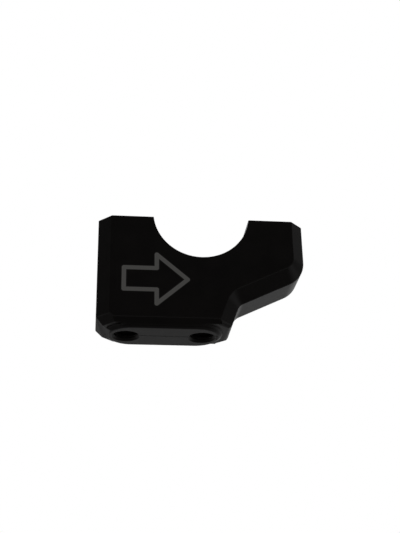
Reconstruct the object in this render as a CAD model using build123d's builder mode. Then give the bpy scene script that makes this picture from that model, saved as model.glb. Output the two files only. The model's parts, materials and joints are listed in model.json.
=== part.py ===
"""Motorcycle handlebar riser, machined from one block of aluminium.

+Z is up, and the origin lies midway between the two bolt holes in the foot, on the foot's lower face. The
handlebar lies along Y in the saddle, and the arm overhangs the foot towards +X.
"""

import os
from math import radians, sqrt, tan

from build123d import *

# Handlebar saddle
bar_diameter = 28.6
saddle_offset = 10.6  # from the middle of the foot bolts to the bar's centre, along X
saddle_height = 36.2  # from the foot's lower face to the bar's centre
saddle_gap = 1.5  # the towers stop this far below the bar's centre, so that the cap can grip

# Body
body_thickness = 18.4
inner_reach = 30.5  # from the bar's centre to the upright side above the foot
arm_reach = 31.1  # from the bar's centre to the end of the arm
edge_chamfer = 3.8

# Arm
arm_underside_angle = 25.6  # degrees from level
arm_underside_drop = 18.4  # from the bar's centre down to the underside, at the end of the arm
arm_end_radius = 8.0
arm_root_radius = 3.5

# Foot
foot_reach = 19.2  # from the middle of the foot bolts to the leaning side, at its lower edge
foot_side_lean = 20.0  # degrees from upright
foot_chamfer = 1.3
pad_length = 36.4
pad_width = 15.9
pad_corner_radius = 6.7
pad_height = 1.2
pad_bevel_height = 0.5
pad_bevel_width = 1.2

# Tapped holes, drilled to M8 tapping size
tap_drill_diameter = 6.8
hole_mouth_diameter = 8.2
drill_point_angle = 118.0
foot_bolt_spacing = 22.2
foot_hole_depth = 12.0
cap_bolt_spacing = 45.0  # puts each hole in the middle of its tower's top
cap_hole_depth = 14.0

# Places worked out from the sizes
saddle_radius = bar_diameter / 2
saddle_half_width = sqrt(saddle_radius**2 - saddle_gap**2)
tower_top = saddle_height - saddle_gap
inner_side = saddle_offset - inner_reach
arm_end = saddle_offset + arm_reach
arm_end_bottom = saddle_height - arm_underside_drop

# The arm's root is where its sloping underside meets the leaning side of the foot
slope = tan(radians(arm_underside_angle))
lean = tan(radians(foot_side_lean))
root_height = (arm_end_bottom - slope * (arm_end - foot_reach + lean * pad_height)) / (1 - slope * lean)
root_reach = foot_reach + lean * (root_height - pad_height)


def hole_cutter(depth):
    """A blind drilled hole with a countersunk mouth at the origin and a conical point up at +Z."""
    drill_radius = tap_drill_diameter / 2
    mouth_radius = hole_mouth_diameter / 2
    point_length = drill_radius / tan(radians(drill_point_angle / 2))
    with BuildPart() as cutter:
        with BuildSketch(Plane.XZ):
            with BuildLine():
                Polyline(
                    (0, 0),
                    (mouth_radius, 0),
                    (drill_radius, mouth_radius - drill_radius),
                    (drill_radius, depth),
                    (0, depth + point_length),
                    close=True,
                )
            make_face()
        revolve(axis=Axis.Z)
    return cutter.part


foot_hole = hole_cutter(foot_hole_depth)
cap_hole = hole_cutter(cap_hole_depth)

with BuildPart() as bar_riser:
    # The side outline is drawn as seen along the bar, and carried along the bar by the body's thickness
    with BuildSketch(Plane.XZ):
        with BuildLine():
            arm_and_foot = FilletPolyline(
                (arm_end, tower_top),
                (arm_end, arm_end_bottom),
                (root_reach, root_height),
                (foot_reach, pad_height),
                radius=(arm_end_radius, arm_root_radius),
            )
            inner_tower = Polyline(
                arm_and_foot @ 1,
                (inner_side, pad_height),
                (inner_side, tower_top),
                (saddle_offset - saddle_half_width, tower_top),
            )
            saddle = ThreePointArc(
                inner_tower @ 1,
                (saddle_offset, saddle_height - saddle_radius),
                (saddle_offset + saddle_half_width, tower_top),
            )
            Line(saddle @ 1, arm_and_foot @ 0)
        make_face()
    extrude(amount=body_thickness / 2, both=True)

    # Wide chamfers run round both flat sides, clear of the tower tops, the saddle and the foot's lower edge
    side_edges = bar_riser.faces().filter_by(Axis.Y).edges()
    lower_edges = side_edges.group_by(Axis.Z)[0]
    saddle_edges = side_edges.filter_by(GeomType.CIRCLE).group_by(SortBy.RADIUS)[-1]
    tower_edges = side_edges.group_by(Axis.Z)[-1]
    chamfer(side_edges - lower_edges - saddle_edges - tower_edges, length=edge_chamfer)
    chamfer(bar_riser.faces().filter_by(Axis.Y).edges().group_by(Axis.Z)[0], length=foot_chamfer)

    # The raised pad under the foot rises far enough into the body to cut back the foot's chamfers
    with BuildSketch(Plane.XY):
        RectangleRounded(pad_length, pad_width, pad_corner_radius)
    extrude(amount=pad_height + foot_chamfer)
    pad_rim = bar_riser.faces().sort_by(Axis.Z)[0].edges()
    chamfer(pad_rim, length=pad_bevel_height, length2=pad_bevel_width)

    # Two holes take the bolts that come up through the fork clamp, and two take the cap's bolts
    with Locations((-foot_bolt_spacing / 2, 0), (foot_bolt_spacing / 2, 0)):
        add(foot_hole, mode=Mode.SUBTRACT)
    with Locations(
        (saddle_offset - cap_bolt_spacing / 2, 0, tower_top),
        (saddle_offset + cap_bolt_spacing / 2, 0, tower_top),
    ):
        add(cap_hole, rotation=(180, 0, 0), mode=Mode.SUBTRACT)

os.makedirs("parts", exist_ok=True)
bar_riser.part.label = "bar_riser"
export_step(bar_riser.part, "parts/bar_riser.step")
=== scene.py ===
"""Looks for a motorcycle bar riser: its black anodised finish, tapped threads, a plain floor and soft light.

Lengths are in metres, in the riser's own frame: Z is up, and the origin lies between the foot's bolt holes.
"""

import json

import bmesh
import bpy
import numpy as np
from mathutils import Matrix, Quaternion, Vector


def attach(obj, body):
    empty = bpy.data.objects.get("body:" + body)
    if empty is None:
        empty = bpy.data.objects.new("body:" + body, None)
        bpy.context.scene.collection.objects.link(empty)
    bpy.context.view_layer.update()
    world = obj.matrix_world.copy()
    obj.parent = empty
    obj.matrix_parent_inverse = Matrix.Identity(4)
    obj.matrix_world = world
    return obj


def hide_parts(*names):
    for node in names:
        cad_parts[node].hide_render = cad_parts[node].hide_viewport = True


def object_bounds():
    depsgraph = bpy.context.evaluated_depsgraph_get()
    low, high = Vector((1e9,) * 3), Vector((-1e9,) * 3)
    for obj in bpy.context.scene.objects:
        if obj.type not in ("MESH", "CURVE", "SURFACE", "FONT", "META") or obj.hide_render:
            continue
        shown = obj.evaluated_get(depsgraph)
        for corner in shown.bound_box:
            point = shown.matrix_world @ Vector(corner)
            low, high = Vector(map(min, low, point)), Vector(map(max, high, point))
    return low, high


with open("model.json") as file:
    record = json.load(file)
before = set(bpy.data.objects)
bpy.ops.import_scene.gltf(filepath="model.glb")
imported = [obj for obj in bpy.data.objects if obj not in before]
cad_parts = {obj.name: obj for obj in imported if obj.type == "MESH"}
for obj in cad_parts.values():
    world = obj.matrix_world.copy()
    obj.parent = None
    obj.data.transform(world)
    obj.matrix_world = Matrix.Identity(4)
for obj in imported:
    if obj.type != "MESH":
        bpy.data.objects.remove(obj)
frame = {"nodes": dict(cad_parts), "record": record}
cad_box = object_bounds()
box_centre = (cad_box[0] + cad_box[1]) / 2
mm = 0.001

# Camera. It looks up at the foot from below the riser, and leans a little clockwise. The riser sits a little
# below the middle of the picture.
camera_azimuth, camera_elevation = np.radians((-6.6, -24.34))
camera_distance = 292.8 * mm
camera_lean = np.radians(1.03)
camera_tilt = np.radians(1.02)  # aims a little above the riser's middle
camera_lens, camera_sensor = 65.9, 36.0  # in millimetres, as on a real camera
camera_clip = (1 * mm, 10.0)

camera_back = Vector(
    (
        np.sin(camera_azimuth) * np.cos(camera_elevation),
        -np.cos(camera_azimuth) * np.cos(camera_elevation),
        np.sin(camera_elevation),
    )
)
level_turn = camera_back.to_track_quat("Z", "Y")
lean_turn = Quaternion((0, 0, 1), -camera_lean)
tilt_turn = Quaternion((1, 0, 0), camera_tilt)
camera_data = bpy.data.cameras.new("camera")
camera_data.lens = camera_lens
camera_data.sensor_width = camera_sensor
camera_data.clip_start, camera_data.clip_end = camera_clip
camera = bpy.data.objects.new("camera", camera_data)
camera.rotation_mode = "QUATERNION"
camera.rotation_quaternion = level_turn @ lean_turn @ tilt_turn
camera.location = box_centre + camera_back * camera_distance
bpy.context.scene.collection.objects.link(camera)
bpy.context.scene.camera = camera

# Riser body: one block of aluminium, milled to shape. Its mesh starts as the solid's own, with doubled
# points merged and the triangles of each flat face joined.
near = 0.01 * mm  # a point this close to a surface or a height counts as on it
merge_distance = 0.001 * mm
flat_angle = np.radians(0.5)

shape = bmesh.new()
shape.from_mesh(frame["nodes"]["bar_riser"].data)
bmesh.ops.remove_doubles(shape, verts=shape.verts, dist=merge_distance)
bmesh.ops.dissolve_limit(shape, angle_limit=flat_angle, verts=shape.verts, edges=shape.edges)

# Tapped holes: two in the foot and two in the tower tops, drilled, countersunk at the mouth and tapped M8.
# Each drilled wall is taken out of the mesh, and a threaded one joins the rings at its two ends.
thread_radius = 4.0 * mm
thread_pitch = 1.25 * mm
thread_flank_angle = np.radians(30)
thread_root = thread_pitch / 8  # the flat at the thread's largest radius
thread_lead_in = 0.6 * mm
thread_run_out = 2.5 * mm
rows_in_pitch = 14

mounts = {mount["name"]: mount for mount in frame["record"]["mounts"]}
drill_radius = mounts["foot_bolts"]["dims"]["hole_r_mm"] * mm
thread_depth = thread_radius - drill_radius
thread_flank = thread_depth * np.tan(thread_flank_angle)
hole_places = [
    mounts[name]["pos_m"][0] + side * mounts[name]["dims"]["spacing_x_mm"] / 2 * mm
    for name in ("foot_bolts", "cap_bolts")
    for side in (-1, 1)
]


def from_hole(x, y, hole_x):
    """Distance of a point, or of many, from a hole's upright middle line."""
    return np.hypot(x - hole_x, y)


def round_hole(x, y, hole_x):
    """Angle of a point, or of many, round a hole's upright middle line."""
    return np.arctan2(y, x - hole_x)


def threaded_wall(hole_x, mouth, bottom, angles):
    """Points of a tapped wall, a row for each height and a column for each angle round the hole.

    The radius is the drill's plus the thread's depth times a trapezoid wave. The wave repeats with each
    pitch of height and climbs by a pitch with each turn, which makes a right-hand thread. It fades in behind
    the mouth, and fades out over the tap's taper at the bottom.
    """
    rows = int(np.ceil(abs(bottom - mouth) / thread_pitch * rows_in_pitch)) + 1
    height, angle = np.meshgrid(np.linspace(mouth, bottom, rows), angles, indexing="ij")
    phase = (height / thread_pitch - angle / (2 * np.pi)) % 1
    from_root = np.abs(phase - 0.5) * thread_pitch
    wave = np.clip((thread_root / 2 + thread_flank - from_root) / thread_flank, 0, 1)
    fade_in = np.clip(np.abs(height - mouth) / thread_lead_in, 0, 1)
    fade_out = np.clip(np.abs(height - bottom) / thread_run_out, 0, 1)
    radius = drill_radius + thread_depth * wave * np.minimum(fade_in, fade_out)
    return np.stack((hole_x + radius * np.cos(angle), radius * np.sin(angle), height), axis=-1)


for hole_x in hole_places:
    wall = [
        face
        for face in shape.faces
        if all(abs(from_hole(*vert.co.xy, hole_x) - drill_radius) < near for vert in face.verts)
    ]
    wall_verts = {vert for face in wall for vert in face.verts}
    wall_verts = sorted(wall_verts, key=lambda vert: round_hole(*vert.co.xy, hole_x))
    heights = [vert.co.z for vert in wall_verts]
    mouth, bottom = min(heights), max(heights)
    if bottom > box_centre.z:  # a hole in a tower top, which opens upwards
        mouth, bottom = bottom, mouth
    mouth_ring = [vert for vert in wall_verts if abs(vert.co.z - mouth) < near]
    bottom_ring = [vert for vert in wall_verts if abs(vert.co.z - bottom) < near]
    angles = [round_hole(*vert.co.xy, hole_x) for vert in mouth_ring]
    points = threaded_wall(hole_x, mouth, bottom, angles)
    bmesh.ops.delete(shape, geom=wall, context="FACES_KEEP_BOUNDARY")
    thread_rings = [[shape.verts.new(point) for point in row] for row in points[1:-1]]
    rings = [mouth_ring, *thread_rings, bottom_ring]
    for ring, next_ring in zip(rings, rings[1:]):
        for column in range(len(ring)):
            corners = (ring[column - 1], ring[column], next_ring[column], next_ring[column - 1])
            shape.faces.new(corners)
bmesh.ops.recalc_face_normals(shape, faces=shape.faces)

# Inner end of the foot: three sloping cuts are milled off its lower edges, one along the end and one across
# each of its corners.
end_cut_width = 2.0 * mm  # along the foot's lower face
end_cut_height = 2.3 * mm  # up the end
cut_tolerance = 0.0001 * mm

foot_face_height = min(vert.co.z for vert in shape.verts if vert.co.x < cad_box[0].x + near)
foot_corners = [vert.co.copy() for vert in shape.verts if abs(vert.co.z - foot_face_height) < near]
for across in (0, 1, -1):
    outward = Vector((-1, across, 0)).normalized()
    outermost = max(foot_corners, key=outward.dot)
    cut_normal = (outward * end_cut_height + Vector((0, 0, -end_cut_width))).normalized()
    cut = bmesh.ops.bisect_plane(
        shape,
        geom=[*shape.verts, *shape.edges, *shape.faces],
        dist=cut_tolerance,
        plane_co=outermost - outward * end_cut_width,
        plane_no=cut_normal,
        clear_outer=True,
    )
    cut_edges = [item for item in cut["geom_cut"] if isinstance(item, bmesh.types.BMEdge)]
    bmesh.ops.contextual_create(shape, geom=cut_edges)

# Pad under the foot: milled with the body, and bevelled round its rim. The solid's pad has rounded corners,
# and here each end is drawn in to one full round, with a wall that leans in a little towards the bevel.
solid_pad_length = 36.4 * mm
solid_corner_radius = 6.7 * mm
pad_length = 34.6 * mm
pad_width = 15.9 * mm
pad_top = 1.25 * mm  # where the pad's wall runs into the foot
pad_bevel_height = 0.5 * mm
pad_lean = 0.4 * mm  # of the wall, on its way down to the bevel
hole_surround = 4.5 * mm  # takes in each hole's mouth


def at_hole(x, y):
    """Whether a point, or each of many, lies in a hole or on its mouth, as seen along the hole."""
    return np.min([from_hole(x, y, hole_x) for hole_x in hole_places], axis=0) < hole_surround


def round_ended(points):
    """The body's points, with each end of the pad drawn in to one full round.

    A point of the pad keeps its inset, which is its distance from the pad's outline, and its turn, which is
    its angle round a corner's centre, while that centre moves to the middle of the end's full round. Up to
    the bevel's height, the wall's lean is added to the inset, in proportion to height.
    """
    corner_x = solid_pad_length / 2 - solid_corner_radius
    corner_y = pad_width / 2 - solid_corner_radius
    end_radius = pad_width / 2
    end_x = pad_length / 2 - end_radius
    x, y, z = points.T
    past_corner_x = np.maximum(np.abs(x) - corner_x, 0)
    past_corner_y = np.maximum(np.abs(y) - corner_y, 0)
    inset = solid_corner_radius - np.hypot(past_corner_x, past_corner_y)
    on_pad = (z < pad_top + near) & (inset > -near) & ~at_hole(x, y)
    inset += np.where(z < pad_bevel_height + near, pad_lean * z / pad_bevel_height, 0)
    turn = np.arctan2(past_corner_y, past_corner_x)
    centre_x = np.minimum(np.abs(x) / corner_x, 1) * end_x
    drawn_in_x = np.copysign(centre_x + (end_radius - inset) * np.cos(turn), x)
    drawn_in_y = np.copysign((end_radius - inset) * np.sin(turn), y)
    drawn_in = np.stack((drawn_in_x, drawn_in_y, z), axis=-1)
    return np.where(on_pad[:, np.newaxis], drawn_in, points)


for vert, point in zip(shape.verts, round_ended(np.array([vert.co for vert in shape.verts]))):
    vert.co = point
bmesh.ops.remove_doubles(shape, verts=shape.verts, dist=merge_distance)
bmesh.ops.recalc_face_normals(shape, faces=shape.faces)

# Edges of the body: broken by tumbling after the milling. They are rounder along the foot's lower edges at
# the arm's end and across its corners, and stay sharp in the holes and on their mouths.
edge_round = 0.2 * mm
foot_end_round = 1.0 * mm
round_segments = 3
sharp_angle = np.radians(20)
end_facing = 0.5  # a face at the foot's end has more of its normal than this along X, and less along Z
flat_face_weight = 100  # the most there is, so that flat faces look flat up to their rounds

bevel_weight = shape.edges.layers.float.new("bevel_weight_edge")
for edge in shape.edges:
    middle = (edge.verts[0].co + edge.verts[1].co) / 2
    sharp = edge.calc_face_angle() > sharp_angle
    on_foot_face = all(abs(vert.co.z - foot_face_height) < near for vert in edge.verts)
    at_end = any(abs(face.normal.x) > end_facing > abs(face.normal.z) for face in edge.link_faces)
    if sharp and edge.is_convex and not at_hole(middle.x, middle.y):
        edge[bevel_weight] = 1 if on_foot_face and at_end else edge_round / foot_end_round
    edge.smooth = not sharp
for face in shape.faces:
    face.smooth = True
riser_mesh = bpy.data.meshes.new("riser_body")
shape.to_mesh(riser_mesh)
shape.free()
riser = bpy.data.objects.new("riser_body", riser_mesh)
bpy.context.scene.collection.objects.link(riser)

rounding = riser.modifiers.new("rounding", "BEVEL")
rounding.limit_method = "WEIGHT"
rounding.width = foot_end_round
rounding.segments = round_segments
rounding.use_clamp_overlap = False
flatness = riser.modifiers.new("flatness", "WEIGHTED_NORMAL")
flatness.keep_sharp = True
flatness.weight = flat_face_weight
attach(riser, "root")
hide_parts("bar_riser")

# Finish of the riser: blasted with glass beads, which leaves a fine grain, and then anodised black, with
# the dye a little uneven. An outlined arrow on one flat side, cut by laser down to paler oxide, points to
# the arm.
anodised_colour = (0.0021, 0.0016, 0.0014, 1)
uneven_colour = (0.0030, 0.0023, 0.0020, 1)
anodised_specular = 0.1
anodised_roughness = 0.36
roughness_spread = 0.10
blast_grain = 0.12 * mm
blast_depth = 0.006 * mm
dye_patch = 7 * mm
dye_even, dye_uneven = 0.35, 0.683  # levels of the patches' noise, which runs from 0 to 1
etched_colour = (0.085, 0.083, 0.079, 1)
etched_roughness = 0.7
etched_depth = 0.05 * mm  # only the surface this near the flat side is marked
arrow_x, arrow_z = -3.0 * mm, 14.4 * mm
arrow_tail, arrow_neck, arrow_tip = -9.2 * mm, 0.3 * mm, 9.3 * mm
arrow_shaft, arrow_head = 3.4 * mm, 7.8 * mm  # from the arrow's middle line
arrow_stroke = 1.3 * mm
arrow_blur = 0.12 * mm


class Shade:
    """A socket in a node tree. Arithmetic on it adds Math nodes, and node() adds any other kind of node."""

    def __init__(self, tree, socket=None):
        self.tree = tree
        self.socket = socket

    def node(self, kind, inputs=None, output=0, **settings):
        """A new node's output. Its settings go in first, then a value or a link for each socket named."""
        made = self.tree.nodes.new("ShaderNode" + kind)
        for name, value in settings.items():
            setattr(made, name, value)
        for name, value in (inputs or {}).items():
            if isinstance(value, Shade):
                self.tree.links.new(value.socket, made.inputs[name])
            else:
                made.inputs[name].default_value = value
        return Shade(self.tree, made.outputs[output] if made.outputs else None)

    def math(self, operation, *values):
        """A Math node's output, with the values in its sockets."""
        return self.node("Math", dict(enumerate(values)), operation=operation)

    def __add__(self, other):
        return self.math("ADD", self, other)

    def __sub__(self, other):
        return self.math("SUBTRACT", self, other)

    def __rsub__(self, other):
        return self.math("SUBTRACT", other, self)

    def __mul__(self, other):
        return self.math("MULTIPLY", self, other)

    def __lt__(self, other):
        return self.math("LESS_THAN", self, other)

    def __abs__(self):
        return self.math("ABSOLUTE", self)

    def within(self, low, high):
        """The value, held between two bounds."""
        return self.node("Clamp", {"Value": self, "Min": low, "Max": high})

    def ramp(self, start, end):
        """0 before the start and 1 past the end, with a straight rise between. The end may be the lower."""
        return ((self - start) * (1 / (end - start))).within(0, 1)

    def axes(self):
        """The three numbers of a vector."""
        split = self.node("SeparateXYZ", {"Vector": self}).socket.node
        return [Shade(self.tree, socket) for socket in split.outputs]


def mix_colours(share, first, second):
    """The first colour where the share is 0 and the second where it is 1.

    A Mix node takes the share in socket 0 and the colours in 6 and 7, and gives their mix as output 2.
    """
    return share.node("Mix", {0: share, 6: first, 7: second}, output=2, data_type="RGBA")


def stroke_distance(x, z, start, end):
    """Distance from a point to the nearest place on the straight line between a stroke's ends."""
    run_x, run_z = end[0] - start[0], end[1] - start[1]
    length_squared = run_x**2 + run_z**2
    along_x = (x - start[0]) * (run_x / length_squared)
    along_z = (z - start[1]) * (run_z / length_squared)
    along = (along_x + along_z).within(0, 1)
    off_x = x - (along * run_x + start[0])
    off_z = z - (along * run_z + start[1])
    return x.math("SQRT", off_x * off_x + off_z * off_z)


finish = bpy.data.materials.new("black_anodised")
finish.use_nodes = True
finish.node_tree.nodes.clear()
shade = Shade(finish.node_tree)
place = shade.node("TexCoord", output="Object")
x, y, z = place.axes()

# One half of the arrow is drawn, and the distance from its middle line gives both.
along_arrow = x - arrow_x
across_arrow = abs(z - arrow_z)
arrow_corners = [
    (arrow_tail, 0),
    (arrow_tail, arrow_shaft),
    (arrow_neck, arrow_shaft),
    (arrow_neck, arrow_head),
    (arrow_tip, 0),
]
to_strokes = [
    stroke_distance(along_arrow, across_arrow, start, end)
    for start, end in zip(arrow_corners, arrow_corners[1:])
]
to_arrow = to_strokes[0]
for to_stroke in to_strokes[1:]:
    to_arrow = shade.math("MINIMUM", to_arrow, to_stroke)
stroke_outside = (arrow_stroke + arrow_blur) / 2
stroke_inside = (arrow_stroke - arrow_blur) / 2
etched = to_arrow.ramp(stroke_outside, stroke_inside) * (y < cad_box[0].y + etched_depth)

patches = shade.node("TexNoise", {"Vector": place, "Scale": 1 / dye_patch, "Detail": 3.0, "Roughness": 0.6})
grain = shade.node("TexNoise", {"Vector": place, "Scale": 1 / blast_grain, "Detail": 2.0, "Roughness": 0.5})
dyed = mix_colours(patches.ramp(dye_even, dye_uneven), anodised_colour, uneven_colour)
colour = mix_colours(etched, dyed, etched_colour)
roughness = (patches + grain - 1) * roughness_spread + anodised_roughness
roughness = roughness + etched * (etched_roughness - anodised_roughness)
relief = shade.node("Bump", {"Height": grain, "Strength": 1.0, "Distance": blast_depth})
surface = shade.node(
    "BsdfPrincipled",
    {
        "Base Color": colour,
        "Roughness": roughness,
        "Normal": relief,
        "Metallic": 0.0,
        "Specular IOR Level": anodised_specular,
    },
)
shade.node("OutputMaterial", {"Surface": surface})
riser_mesh.materials.append(finish)

# Floor: a plain pale sheet under the foot. It takes the riser's shadow and fades into the white around it.
# Only its upper side shows, so that the riser can be seen and lit from below.
floor_half_width = 600 * mm
floor_fade_start, floor_fade_end = 60 * mm, 300 * mm
floor_colour = (0.8, 0.8, 0.8, 1)

floor_corners = [
    (side * floor_half_width, end * floor_half_width, 0)
    for side, end in ((-1, -1), (1, -1), (1, 1), (-1, 1))
]
floor_mesh = bpy.data.meshes.new("floor")
floor_mesh.from_pydata(floor_corners, [], [(0, 1, 2, 3)])
floor = bpy.data.objects.new("floor", floor_mesh)
bpy.context.scene.collection.objects.link(floor)
for ray in ("visible_diffuse", "visible_glossy", "visible_transmission", "visible_shadow"):
    setattr(floor, ray, False)

pale = bpy.data.materials.new("pale_floor")
pale.use_nodes = True
pale.node_tree.nodes.clear()
shade = Shade(pale.node_tree)
place = shade.node("TexCoord", output="Object")
distance = shade.node("VectorMath", {0: place}, output="Value", operation="LENGTH")
underside = shade.node("NewGeometry", output="Backfacing")
see_through = shade.math("MAXIMUM", distance.ramp(floor_fade_start, floor_fade_end), underside)
sheet = shade.node("BsdfDiffuse", {"Color": floor_colour})
clear = shade.node("BsdfTransparent")
shade.node("OutputMaterial", {"Surface": shade.node("MixShader", {0: see_through, 1: sheet, 2: clear})})
floor_mesh.materials.append(pale)

# Surroundings: a light tent, white to the camera. The riser mirrors it as pale behind, dim in front and
# at the far left, and brightest just under the horizon in front and at the sides, where a pale floor
# would glow. The rest of its light has one plain level.
tent_level = 0.5
pale_level = 0.42
dim_level = 0.15
glow_level = 1.0

# Each pair says where one level turns into the next, as the share of a direction that lies along one axis:
# Y to the back, X to the right and Z up.
front_dim, back_pale = -0.125, 0.5
left_dim, left_pale = -0.8, -0.4
glow_start, glow_full = 0, -0.167
glow_end, glow_last_full = -0.5, -0.375
glow_none_behind, glow_full_before = 0.867, 0.533

world = bpy.data.worlds.new("light_tent")
bpy.context.scene.world = world
world.use_nodes = True
world.node_tree.nodes.clear()
shade = Shade(world.node_tree)
seen = shade.node("LightPath", output="Is Camera Ray")
glossy = shade.node("LightPath", output="Is Glossy Ray")
transmitted = shade.node("LightPath", output="Is Transmission Ray")
aim_x, aim_y, aim_z = shade.node("TexCoord", output="Generated").axes()
behind = aim_y.ramp(front_dim, back_pale) * aim_x.ramp(left_dim, left_pale)
under_horizon = aim_z.ramp(glow_start, glow_full) * aim_z.ramp(glow_end, glow_last_full)
glow = under_horizon * aim_y.ramp(glow_none_behind, glow_full_before) * glow_level
reflected = shade.math("MAXIMUM", behind * (pale_level - dim_level) + dim_level, glow)
mirrored = shade.math("MAXIMUM", glossy, transmitted)
level = mirrored * reflected + (1 - mirrored) * tent_level
tent = shade.node("Background", {"Color": (1, 1, 1, 1), "Strength": seen + (1 - seen) * level})
shade.node("OutputWorld", {"Surface": tent})

# Lamps: three wide, soft ones, overhead, high in front and behind. The one overhead is the strongest, and
# gives the floor its shadow.
lamp_width = 500 * mm
lamps = {
    "overhead_lamp": (Vector((50, 100, 600)) * mm, 0.9),
    "front_lamp": (Vector((0, -300, 600)) * mm, 0.3),
    "back_lamp": (Vector((100, 600, 250)) * mm, 0.4),
}
for name, (lamp_place, lamp_watts) in lamps.items():
    lamp_data = bpy.data.lights.new(name, "AREA")
    lamp_data.size = lamp_width
    lamp_data.energy = lamp_watts
    lamp = bpy.data.objects.new(name, lamp_data)
    lamp.location = lamp_place
    lamp.rotation_mode = "QUATERNION"
    lamp.rotation_quaternion = (lamp.location - box_centre).to_track_quat("Z", "Y")
    lamp.visible_camera = False
    bpy.context.scene.collection.objects.link(lamp)

bpy.context.scene.view_settings.view_transform = "Standard"
